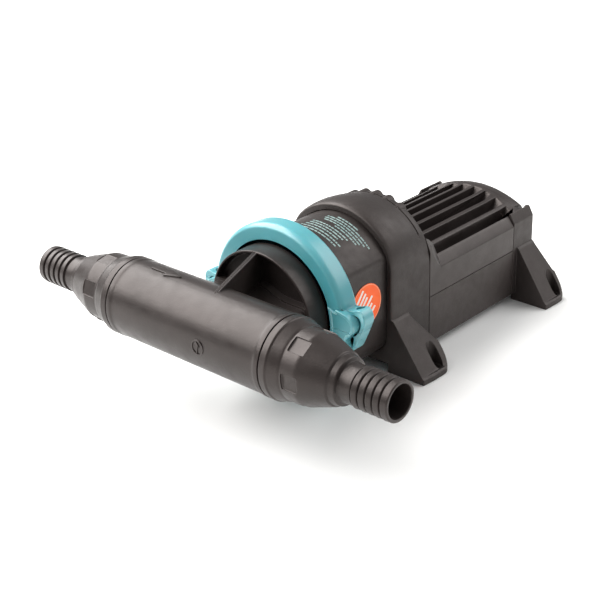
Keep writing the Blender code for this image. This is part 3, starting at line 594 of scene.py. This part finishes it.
def end_cap(side, name, node):
    spigot_r, groove_r, seam = TUBE_BORE - 0.3, 21.0, SEAM_X + 0.3
    spigot = [(20.0, 56.0), (spigot_r, 56.0, 0.5), (spigot_r, 61.4), (groove_r, 61.4),
              (groove_r, 65.0), (spigot_r, 65.0), (spigot_r, seam)]
    shoulder = [(26.4, seam), (26.5, SEAM_X + 0.9), (27.9, SEAM_X + 0.9, 0.4), (TUBE_END_R, 75.8, 0.6),
                (27.2, 76.6, 0.6), (25.3, 84.2, 1.2), (24.7, 85.3, 0.6), (24.6, 96.8, 1.2),
                (22.3, 103.4, 6)]
    stem = [(17.9, 116.4, 0.6), (16.7, 117.0, 0.4), (15.9, 121.4, 0.7), (13.4, 122.2, 0.4),
            (12.9, 126.0, 2), (12.8, 131.2, 0.3), (12.1, 131.6, 0.2), (12.1, 132.5, 0.2)]
    bore = [(11.3, TAIL_X, 0.5), (11.0, 158.0, 1), (11.0, 124.0, 3), (20.0, 98.0, 3)]
    profile = eased(spigot + shoulder + stem + hose_barbs() + bore)
    made = turned([(r, side * x) for r, x in profile], "X", TUBE_AXIS, 120)
    cut(made, *shoulder_notches(side))
    piece(made, name, BLACK, "black_glass_filled_plastic", "head", node)


# ---------------------------------------------------------------- clamp ring

def ear_shape(side, points):
    """Points of an ear: the left one is mirrored, and sits a little lower round the ring."""
    turn = Matrix.Rotation(math.radians(EAR_TURN), 2)
    made = []
    for x, z in points:
        spot = Vector((x, z - RING_Z))
        if side < 0:
            spot = turn @ Vector((-x, z - RING_Z))
        made.append((spot.x, spot.y + RING_Z))
    return made


def ear_strap(side):
    """The outer part of an ear, hollowed from the front."""
    strap = [(57, 79.0), (65.2, 80.0, 1.0), (68.4, 81.6, 2), (71.4, 81.6, 2.5), (74.0, 79.0, 2.5),
             (75.4, 74.2, 3), (73.2, 68.4, 4), (68.6, 57.6, 5), (65.0, 50.2, 3.0), (57, 46)]
    crescent = [(64.8, 77.4, 1.0), (68.8, 76.9, 1.5), (71.1, 74.8, 2), (71.8, 71.4, 2),
                (70.0, 66.0, 3), (66.4, 61.8, 0.8), (60, 60), (60, 74)]
    lower_gap = [(61.5, 60.4), (65.4, 60.2, 0.6), (63.4, 52.8, 0.6), (61.8, 54)]
    made = prism(ear_shape(side, eased(strap)), "Y", STRAP_FRONT, STRAP_BACK, 0.7)
    hollows = [prism(ear_shape(side, eased(p)), "Y", -80, HOLLOW_BACK) for p in (crescent, lower_gap)]
    return cut(made, *hollows, rod("Y", RING_AXIS, FLANGE_R + 2, -90, -60, 128))


def ear_block(side):
    """The front block of an ear, with a shallow panel in its face."""
    nose = [(53.5, 79.9, 2), (59.7, 79.0, 2), (64.4, 77.8, 3), (69.0, 73.6, 3), (69.7, 68.6, 3),
            (67.4, 64.2, 3), (63.6, 61.4, 1.5), (62.4, 57.5, 2), (64.4, 52.0, 2.2), (59, 48, 2),
            (54, 42, 1.5)]
    panel = [(54.5, 77.7, 1.5), (59.5, 76.9, 2), (63.7, 75.7, 3), (66.9, 72.6, 3), (67.5, 68.6, 3),
             (65.4, 65.2, 3), (61.6, 62.6, 1.5), (60.2, 57.8, 2)]
    outline = ear_shape(side, eased(nose) + arc(RING_AXIS, 49.3, -28, 17, 24))
    made = prism(outline, "Y", BLOCK_FRONT, BLOCK_BACK, 0.6, (True, False))
    floor = ear_shape(side, eased(panel) + arc(RING_AXIS, 51.4, -22, 13.0, 16))
    channel = rod("Y", RING_AXIS, FLANGE_R + 2.3, LIP_BACK - 0.4, -60, 110)
    return cut(made, prism(floor, "Y", -84, PANEL_Y), channel)


def clamp_half(upper, name, node):
    lip_r, back_r, channel_r = 48.6, 50.4, FLANGE_R + 0.5
    section = [(lip_r, RING_FRONT, 0.6), (RING_R - 2.4, RING_FRONT, 1.2), (RING_R, RING_FRONT + 3.0, 2.6),
               (RING_R - 0.2, RING_BACK - 1.2, 1.2), (RING_R - 1.4, RING_BACK, 0.8),
               (back_r, RING_BACK, 0.5), (back_r, CHANNEL_BACK), (channel_r, CHANNEL_BACK),
               (channel_r, LIP_BACK), (lip_r, LIP_BACK, 0.5)]
    made = turned(eased(section), "Y", RING_AXIS, 160)
    for side in (-1, 1):
        joined(made, ear_strap(side), ear_block(side))
    if upper:
        keep = box((-90, -90, RING_Z + RING_GAP), (90, RING_BACK + PAST, 140))
    else:
        keep = box((-90, -90, -10), (90, RING_BACK + PAST, RING_Z - RING_GAP))
    shared(made, keep)
    for side, shift in BOLT_SHIFT.items():
        x = side * CLAMP_BOLT_X
        centre = (x, CLAMP_BOLT_Y)
        if upper:
            seat = rod("Z", centre, 3.05, 73.4 + shift, 90, 30)
        else:
            seat = box((x - 3.0, -73.0, 58.8 + shift), (x + 3.0, -60, 61.8 + shift))
        cut(made, rod("Z", centre, 1.8, 57 + shift, 90, 22), seat)
    softened(made, 0.4, 40)
    piece(made, name, TEAL, "teal_plastic", "housing", node)


def clamp_fasteners(side, tag):
    centre, shift = (side * CLAMP_BOLT_X, CLAMP_BOLT_Y), BOLT_SHIFT[side]
    thread = []
    for i in range(18):
        thread += [(1.28, 58.4 + i * 0.5), (1.52, 58.65 + i * 0.5)]
    tip, neck_z, top = 57.8, 73.6, 76.6
    profile = [(0, tip), (1.1, tip), *thread, (1.5, 68.0), (1.5, neck_z), (2.7, neck_z, 0.3),
               (2.7, top, 0.5), (0, top)]
    made = turned([(r, z + shift) for r, z in eased(profile, 3)], "Z", centre, 32)
    cut(made, prism(circle(centre, 1.4, 6), "Z", 74.8 + shift, 80))
    piece(made, f"clamp_bolt_{tag}", STEEL, "steel", "housing", f"clamp_screw_{tag}")
    nut = prism(circle(centre, 2.85, 6), "Z", 59.1 + shift, 61.5 + shift, 0.3)
    cut(nut, rod("Z", centre, 1.6, 40, 80, 24))
    piece(nut, f"hex_nut_{tag}", STEEL, "steel", "housing", f"clamp_nut_{tag}")


# ---------------------------------------------------------------- housings

def arch(radius, half, bottom, corner, soft=2.0, steps=40):
    """Arched outline: a round top about the diaphragm's axis, flat sides, rounded bottom corners."""
    lift = math.degrees(math.acos(min(1.0, half / radius)))
    shoulder = RING_Z + radius * math.sin(math.radians(lift))
    spread = math.degrees(soft / radius)
    points = arc(RING_AXIS, radius, lift + spread, 180 - lift - spread, steps)
    a, b, c = Vector(points[-1]), Vector((-half, shoulder)), Vector((-half, shoulder - soft))
    ease = []
    for k in range(1, 9):
        t = k / 8
        ease.append(tuple(a * (1 - t) ** 2 + b * 2 * t * (1 - t) + c * t * t))
    points += ease
    points += arc((corner - half, bottom + corner), corner, 180, 270, 8)
    points += arc((half - corner, bottom + corner), corner, 270, 360, 8)
    return points + mirrored(ease)


def foot(side, front, root_back, tip_back, ramp_top):
    """A foot that slopes outwards and backwards from the housing, with a counterbored slot."""
    tip_round, beyond = 9.0, FOOT_X + 2
    plan = [(FOOT_ROOT, front), (FOOT_X - 0.8, front), (FOOT_X, front + 12)]
    plan += arc((FOOT_X - tip_round, tip_back - tip_round), tip_round, 0, 90, 14)
    plan += [(FOOT_ROOT, tip_back)]
    ramp = eased([(FOOT_ROOT, 0), (beyond, 0), (beyond, 3.6, 0.8), (76.2, 4.4, 3.0),
                  (49.6, ramp_top, 1.0), (FOOT_ROOT, ramp_top + 3)], 6)
    back = eased([(root_back, ramp_top - 2), (root_back, ramp_top + 9), (tip_back + 20, ramp_top + 9),
                  (tip_back + 20, 21), (tip_back - 1.0, 20, 3)], 6)
    made = prism([(side * x, y) for x, y in plan], "Z", 0, ramp_top + 3)
    shared(made, prism([(side * x, z) for x, z in ramp], "Y", front - PAST, tip_back + PAST))
    cut(made, prism(back, "X", -90, 90))
    slot = (side * FOOT_SLOT_X, (front + tip_back) / 2 + 6)
    return cut(made, prism(obround(slot, 13, 9), "Z", 5, 60),
               prism(obround(slot, 9.5, 5.5), "Z", -PAST, 10))


def pump_body():
    spigot_back, step_r, step_y = COLLAR_FRONT + 7.0, 50.0, -66.6
    outline = arch(BODY_R, BODY_HALF, BODY_BOTTOM, 16, 2.5)
    made = prism(outline, "Y", RING_BACK + 0.4, spigot_back, 0.8)
    flange = turned([(0, BODY_FRONT), (FLANGE_R, BODY_FRONT), (FLANGE_R, step_y), (step_r, step_y),
                     (step_r, -60.0), (0, -60.0)], "Y", RING_AXIS, 96)
    inside = prism(arch(BODY_R - 3, BODY_HALF - 3, BODY_BOTTOM + 3, 13), "Y", -60.0, spigot_back + PAST)
    cut(joined(made, flange), inside, rod("Y", RING_AXIS, 39, BODY_FRONT - PAST, -55, 64))
    piece(made, "body_shell", BODY_BLACK, "black_glass_filled_plastic", "housing", "pump_body")


def collar_lobes():
    """Five lobes over the top of the collar, at its rear edge."""
    made = []
    for k in range(-2, 3):
        turn = math.radians(90 - LOBE_PITCH * k)
        centre = (LOBE_R * math.cos(turn), RING_Z + LOBE_R * math.sin(turn))
        made.append(rod("Y", centre, 4.6, COLLAR_BACK - 9, COLLAR_BACK + 1.0, 36, 1.2))
    return made


def collar():
    """Gear housing: stations are (y, arch radius, half width)."""
    stations = [(COLLAR_FRONT, 52.9, 46.2), (COLLAR_FRONT + 0.25, 53.6, 46.9),
                (COLLAR_FRONT + 0.9, 54.2, 47.4), (COLLAR_FRONT + 3, 55.0, 47.8),
                (-5.0, 55.5, BOX_HALF), (2.0, 55.5, BOX_HALF), (10.0, 54.6, BOX_HALF),
                (18.0, 53.2, BOX_HALF), (25.0, 51.8, BOX_HALF), (29.5, 51.0, BOX_HALF),
                (31.0, 50.6, BOX_HALF), (COLLAR_BACK, 50.0, 47.6)]
    made = loft([(arch(r, half, BOX_BOTTOM, 6, 13.0), y) for y, r, half in stations], "Y")
    feet = [foot(side, COLLAR_FRONT, 6.0, 20.0, 42.0) for side in (-1, 1)]
    joined(made, *collar_lobes(), *feet)
    seam = turned([(51.45, 24.7), (60, 24.7), (60, 25.2), (51.45, 25.2)], "Y", RING_AXIS, 90)
    cut(made, shared(seam, box((-60, 20, 84), (60, 30, 130))))
    socket_back = COLLAR_FRONT + 8.4
    socket = arch(BODY_R + 0.3, BODY_HALF + 0.3, BODY_BOTTOM - 0.3, 16, 2.5)
    inner = arch(46.6, 40.6, BODY_BOTTOM + 2, 14)
    cut(made, prism(socket, "Y", COLLAR_FRONT - PAST, socket_back),
        prism(inner, "Y", socket_back - PAST, COLLAR_BACK - 3),
        rod("Y", (WHEEL_X, MOTOR_Z), 9.0, COLLAR_BACK - 5, COLLAR_BACK + PAST, 40))
    for side in (-1, 1):
        joined(made, rod("X", (CRANK_Y, RING_Z), 8.5, side * 33.0, side * 43.0, 40))
        cut(made, rod("X", (CRANK_Y, RING_Z), 6.9, side * 31.0, side * 40.3, 40))
    for side in (-1, 1):
        centre = (WHEEL_X + side * MOTOR_SCREW_X, MOTOR_Z)
        cut(made, rod("Y", centre, 2.2, COLLAR_BACK - 6, COLLAR_BACK + PAST, 20))
    softened(made, 0.6, 42)
    piece(made, "collar_shell", BODY_BLACK, "black_glass_filled_plastic", "housing", "gear_housing")


def cover_posts():
    ends = (COLLAR_BACK + POST_INSET, TRAY_BACK - POST_INSET)
    return [(side * POST_X, y) for side in (-1, 1) for y in ends]


def motor_tray():
    wall, top = 3, SEAM_Z - 0.3
    made = box((-BOX_HALF, MOTOR_FRONT, BOX_BOTTOM), (BOX_HALF, TRAY_BACK, top))
    cut(made, box((-BOX_HALF + wall, MOTOR_FRONT - PAST, BOX_BOTTOM + wall),
                  (BOX_HALF - wall, TRAY_BACK + PAST, 60)))
    for centre in cover_posts():
        joined(made, rod("Z", centre, 4.2, BOX_BOTTOM + 1, top, 24))
        cut(made, rod("Z", centre, 2.0, BOX_BOTTOM - PAST, SEAM_Z + PAST, 20),
            rod("Z", centre, 3.4, BOX_BOTTOM - PAST, BOX_BOTTOM + 3.2, 24))
    softened(made, 0.5)
    piece(made, "tray_shell", BODY_BLACK, "black_glass_filled_plastic", "housing", "motor_tray")


def fin_height(x):
    """Height of the arched top over the fins."""
    return FIN_TOP - FIN_ARCH_R + math.sqrt(FIN_ARCH_R**2 - x * x)


def cover_section():
    xs = [CROWN_HALF - CROWN_HALF * i / 16 for i in range(33)]
    top = [(x, fin_height(x)) for x in xs]
    return [(BOX_HALF, SEAM_Z), (BOX_HALF, LEDGE_Z), *top, (-BOX_HALF, LEDGE_Z), (-BOX_HALF, SEAM_Z)]


def tail_section(drop, side, low, shoulder, thick=0.0):
    """Section of the cover's domed tail; with a thickness it is only a skin under the crown."""
    xs = [side - 2.2 - (side - 2.2) * i / 14 for i in range(29)]
    crown = [(x, fin_height(x) + 0.7 - drop) for x in xs]
    if thick:
        return crown + [(x, fin_height(x) + 0.7 - thick) for x in reversed(xs)]
    return [(side, low), (side, shoulder), *crown, (-side, shoulder), (-side, low)]


def cover_tail():
    """The domed tail, and the skin that overhangs it: stations are (drop, y)."""
    dome = [(0.7, TRAY_BACK - 3), (0.3, 146), (0, 152), (1.2, 157), (3.2, 160.5), (5.5, COVER_BACK)]
    lid = [(1.5, 150), (0.05, 155), (0.5, 160), (1.4, 163), (2.9, 165.2), (4.6, 166.2)]
    return (loft([(tail_section(drop, 43.9, SEAM_Z, 65.0), y) for drop, y in dome], "Y"),
            loft([(tail_section(drop, 40.2, 63.0, 67.0, 7.4), y) for drop, y in lid], "Y"))


def cover_cheek(side):
    """The raised cheek at the front of the cover, lower at its outer face than at its inner one."""
    outer = [(MOTOR_FRONT, 60), (MOTOR_FRONT, 80.6), (34.9, 76.6), (39.6, 71.4), (44.4, 66.3), (44.9, 60)]
    inner = [(MOTOR_FRONT, 60), (MOTOR_FRONT, 91.0), (35.5, 89.0), (40.6, 84.5), (45.4, 75.3), (49.5, 60)]
    return loft([(outer, side * BOX_HALF), (inner, side * 43.2)], "X")


def fin_gap(k):
    """The gap between two fins, which runs out upwards at the rear."""
    middle, half, edge, top = (k + 0.5) * FIN_PITCH, (FIN_PITCH - FIN_WIDTH) / 2, 41.6, 95
    floor = 70.6 if abs(middle) < 32 else 66.0
    outline = eased([(MOTOR_FRONT + 5.5, floor, 7), (MOTOR_FRONT + 3.4, top), (TRAY_BACK + 15, top),
                     (TRAY_BACK + 11, 84, 6), (TRAY_BACK + 2, floor, 9)], 6)
    return prism(outline, "X", max(middle - half, -edge), min(middle + half, edge))


def motor_cover():
    made = prism(cover_section(), "Y", MOTOR_FRONT, TRAY_BACK)
    joined(made, *cover_tail())
    for side in (-1, 1):
        joined(made, cover_cheek(side))
    inner = 44.6
    cut(made, box((-inner, MOTOR_FRONT - PAST, SEAM_Z - PAST), (inner, COVER_BACK - 4, 61.5)),
        box((-30, MOTOR_FRONT - PAST, 60), (34, COVER_BACK - 6, 68.0)))
    for k in range(-4, 4):
        cut(made, fin_gap(k))
    for centre in cover_posts():
        joined(made, rod("Z", centre, 4.2, SEAM_Z, 63.0, 24))
        cut(made, rod("Z", centre, 2.0, SEAM_Z - PAST, 58, 20))
    softened(made, 0.45)
    piece(made, "cover_shell", BLACK, "black_glass_filled_plastic", "housing", "motor_cover")


def rear_bracket():
    front, inner_half, cheek_z = TRAY_BACK + 0.3, 44.6, 74.4
    shell = [(BOX_HALF, BOX_BOTTOM), (BOX_HALF, 67.3, 0.8), (43.9, cheek_z, 0.4), (41.4, cheek_z)]
    shell += [(x, fin_height(x) - 8.0) for x in (41, *range(38, 0, -5))]
    made = prism(eased(shell + mirrored(shell)), "Y", front, BRACKET_BACK)
    inner = [(inner_half, BOX_BOTTOM + 3), (inner_half, 65.6), (42.6, 68.4), (42.6, 90.0)]
    cut(made, prism(inner + mirrored(inner), "Y", front - PAST, COVER_BACK + 0.5))
    for side in (-1, 1):
        joined(made, foot(side, front + 5, BRACKET_BACK, 174.7, 45.0))
        centre = (side * BRACKET_SCREW_X, BRACKET_SCREW_Z)
        cut(made, rod("Y", centre, 2.2, COVER_BACK - PAST, BRACKET_BACK + PAST, 20))
    cut(made, rod("Y", GLAND_AT, 5.2, COVER_BACK - PAST, BRACKET_BACK + PAST, 32))
    softened(made, 0.5, 38)
    piece(made, "bracket_shell", BODY_BLACK, "black_glass_filled_plastic", "housing", "rear_bracket")


def cable_gland():
    hole_r, front, rear, lip = 1.5, 160.8, 171.0, BRACKET_BACK + 0.3
    profile = [(hole_r, front), (4.9, front, 0.3), (4.9, lip), (7.4, lip, 0.4), (7.4, 169.0, 0.8),
               (6.2, 169.6, 0.4), (5.4, rear, 0.6), (hole_r, rear, 0.3)]
    made = turned(eased(profile), "Y", GLAND_AT, 48)
    piece(made, "gland_boot", RUBBER, "black_rubber", "housing", "cable_gland")


def screw(axis, centre, head, tip, name, node, sizes=(3.1, 1.7)):
    """A cross-head screw from its head to its tip, along either direction of the axis."""
    head_r, shank_r = sizes
    way = 1 if tip > head else -1
    neck_at = head + 2.2 * way
    profile = [(0, head), (head_r - 0.9, head, 0.6), (head_r, head + 1.0 * way, 0.5),
               (head_r, neck_at, 0.2), (shank_r, neck_at)]
    at = neck_at + 1.2 * way
    while (tip - at) * way > 1.6:
        profile += [(shank_r - 0.25, at), (shank_r, at + 0.45 * way)]
        at += 0.9 * way
    profile += [(shank_r * 0.7, tip - 0.6 * way), (0, tip)]
    made = turned(eased(profile, 3), axis, centre, 32)
    u, v = centre
    for wide, deep in ((1.9, 0.38), (0.38, 1.9)):
        outline = [(u - wide, v - deep), (u + wide, v - deep), (u + wide, v + deep), (u - wide, v + deep)]
        cut(made, prism(outline, axis, head - way, head + 1.1 * way))
    piece(made, name, STEEL, "steel", "housing", node)


# ---------------------------------------------------------------- print and label

def curved_bar(y0, y1, a0, a1, low, high):
    """A bar of print on the arch, between two angles round the diaphragm's axis."""
    steps = max(1, round(abs(a1 - a0) / 1.5))
    outer = arc(RING_AXIS, high, a0, a1, steps)
    inner = arc(RING_AXIS, low, a1, a0, steps)
    return prism(outer + inner, "Y", y0, y1)


def random_shares(seed):
    """Endless numbers from 0 to 1, the same on every run."""
    span = 2**31
    while True:
        seed = (seed * 1103515245 + 12345) % span
        yield seed / span


def printed_lines():
    """Rows of plain dashes: each row is (y, first angle, last angle)."""
    rows = [(-20.2, 84, 61.5), (-23.2, 92, 43.0), (-26.0, 92, 46.5), (-28.8, 90, 49.0), (-31.6, 76, 51.0),
            (-35.2, 96, 57.5), (-38.2, 96, 60.0), (-41.4, 97, 62.5), (-44.8, 99, 55.5), (-48.0, 99, 57.0)]
    half, root_r, face_r, gap = 0.62, BODY_R - 0.3, BODY_R + 0.06, 0.75
    shares = random_shares(7)
    bars = []
    for y, start, end in rows:
        angle = start
        while angle > end:
            stop = max(end, angle - (1.6 + 3.8 * next(shares)))
            if angle - stop > 0.8:
                bars.append(curved_bar(y - half, y + half, angle, stop, root_r, face_r))
            angle = stop - gap
    piece(merged(*bars), "printed_lines", PRINT, "orange_label", "housing", weighted=False)


def round_label():
    """The label: a disc, plain slanted strokes and a paler rim."""
    low, high = BODY_HALF + 0.02, BODY_HALF + 0.42
    under, stroke_top, rim_top = high - 0.1, high + 0.1, high + 0.06
    disc = rod("X", LABEL_AT, LABEL_R, low, high, 96, 0.12)
    piece(disc, "label_disc", LABEL, "orange_label", "housing", "round_label")
    strokes = [((-45.7, 66.0), (-38.7, 74.8)), ((-46.2, 59.6), (-36.0, 71.7)),
               ((-42.4, 58.9), (-34.3, 68.4)), ((-40.2, 55.2), (-29.0, 67.7)),
               ((-36.5, 54.5), (-29.2, 62.0)), ((-33.8, 50.8), (-25.9, 59.1))]
    bars = []
    for ends in strokes:
        start, end = Vector(ends[0]), Vector(ends[1])
        along = (end - start).normalized()
        side = Vector((-along.y, along.x)) * 0.95
        outline = [tuple(p) for p in (start - side, end - side, end + side, start + side)]
        bars.append(prism(eased([(*p, 0.8) for p in outline]), "X", under, stroke_top))
    piece(merged(*bars), "label_marks", LABEL_WHITE, "orange_label", "housing", weighted=False)
    profile = [(15.2, under), (15.9, under), (15.9, rim_top), (15.2, rim_top)]
    rim = turned(eased(profile), "X", LABEL_AT, 96)
    piece(rim, "label_rim", LABEL_EDGE, "orange_label", "housing", weighted=False)


# ---------------------------------------------------------------- stage

AZ, EL, ROLL = (math.radians(v) for v in (42.51, 25.58, -1.7))
CAMERA_AT = (0.5933, -0.7040, 0.4824)
LENS = 82.72
WORLD = 0.42
FLOOR_HALF = 6000
# Each lamp is (name, watts, size, place, target, colour), with places in metres.
LIGHTS = [
    ("key", 96, (2.6, 1.6), (-1.15, -0.45, 1.3), (0, 0, 0.05), (1.0, 0.99, 0.98)),
    ("rim", 18, (1.6, 1.2), (0.75, 1.15, 1.1), (0, 0, 0.05), (1.0, 1.0, 1.0)),
]


def camera_view():
    """The camera looks along the azimuth and elevation, turned by the roll about its own axis."""
    back = Vector((math.sin(AZ) * math.cos(EL), -math.cos(AZ) * math.cos(EL), math.sin(EL)))
    right = Vector((0, 0, 1)).cross(back).normalized()
    up = back.cross(right)
    c, s = math.cos(ROLL), math.sin(ROLL)
    x, y = right * c + up * s, up * c - right * s
    camera = bpy.data.objects.new("camera", bpy.data.cameras.new("camera"))
    bpy.context.scene.collection.objects.link(camera)
    rows = [(x[i], y[i], back[i], CAMERA_AT[i]) for i in range(3)]
    camera.matrix_world = Matrix((*rows, (0, 0, 0, 1)))
    camera.data.lens, camera.data.sensor_width = LENS, 36
    camera.data.clip_start, camera.data.clip_end = 0.02, 60
    bpy.context.scene.camera = camera


def lamps():
    for name, energy, size, at, target, colour in LIGHTS:
        lamp = bpy.data.lights.new(name, "AREA")
        lamp.shape, lamp.energy = "RECTANGLE", energy
        lamp.size, lamp.size_y = size
        lamp.color = colour
        holder = bpy.data.objects.new(name, lamp)
        bpy.context.scene.collection.objects.link(holder)
        holder.location = at
        holder.rotation_euler = (Vector(target) - Vector(at)).to_track_quat("-Z", "Y").to_euler()


def surroundings():
    """An even white sky and a wide sheet of pale paper as the floor."""
    bpy.context.scene.view_settings.view_transform = "Standard"
    world = bpy.data.worlds.new("studio")
    world.use_nodes = True
    sky = world.node_tree.nodes["Background"]
    sky.inputs["Color"].default_value = (1.0, 1.0, 1.0, 1.0)
    sky.inputs["Strength"].default_value = WORLD
    bpy.context.scene.world = world
    bm = bmesh.new()
    bmesh.ops.create_grid(bm, x_segments=8, y_segments=8, size=FLOOR_HALF)
    floor = to_object(bm, "floor")
    floor.data.transform(Matrix.Scale(MM, 4))
    f = Finish("floor_paper", roughness=0.9)
    f.colour(f.mix(f.fit(f.noise(3, 3), 0.3, 0.7), (0.86, 0.86, 0.85), (0.90, 0.90, 0.89)))
    f.bump(f.noise(500, 3), 0.05, 0.0002)
    f.set(Specular_IOR_Level=0.2)
    floor.data.materials.append(f.material)


manifold()
mould_mark()
end_cap(-1, "inlet_tail", "inlet_cap")
end_cap(1, "outlet_tail", "outlet_cap")
clamp_half(True, "ring_upper", "clamp_ring_upper")
clamp_half(False, "ring_lower", "clamp_ring_lower")
for side, tag in SIDES:
    clamp_fasteners(side, tag)
pump_body()
collar()
motor_tray()
motor_cover()
rear_bracket()
cable_gland()
for k, post in enumerate(cover_posts(), 1):
    screw("Z", post, BOX_BOTTOM + 0.4, 56.0, f"tray_bolt_{k}", f"cover_screw_{k}")
for side, tag in SIDES:
    screw("Y", (side * BRACKET_SCREW_X, BRACKET_SCREW_Z), BRACKET_BACK + 2.5, 150.0,
          f"bracket_bolt_{tag}", f"bracket_screw_{tag}")
    screw("Y", (WHEEL_X + side * MOTOR_SCREW_X, MOTOR_Z), COLLAR_BACK - 5.5, 36.0,
          f"motor_bolt_{tag}", f"motor_screw_{tag}", (2.6, 1.1))
printed_lines()
round_label()
camera_view()
lamps()
surroundings()
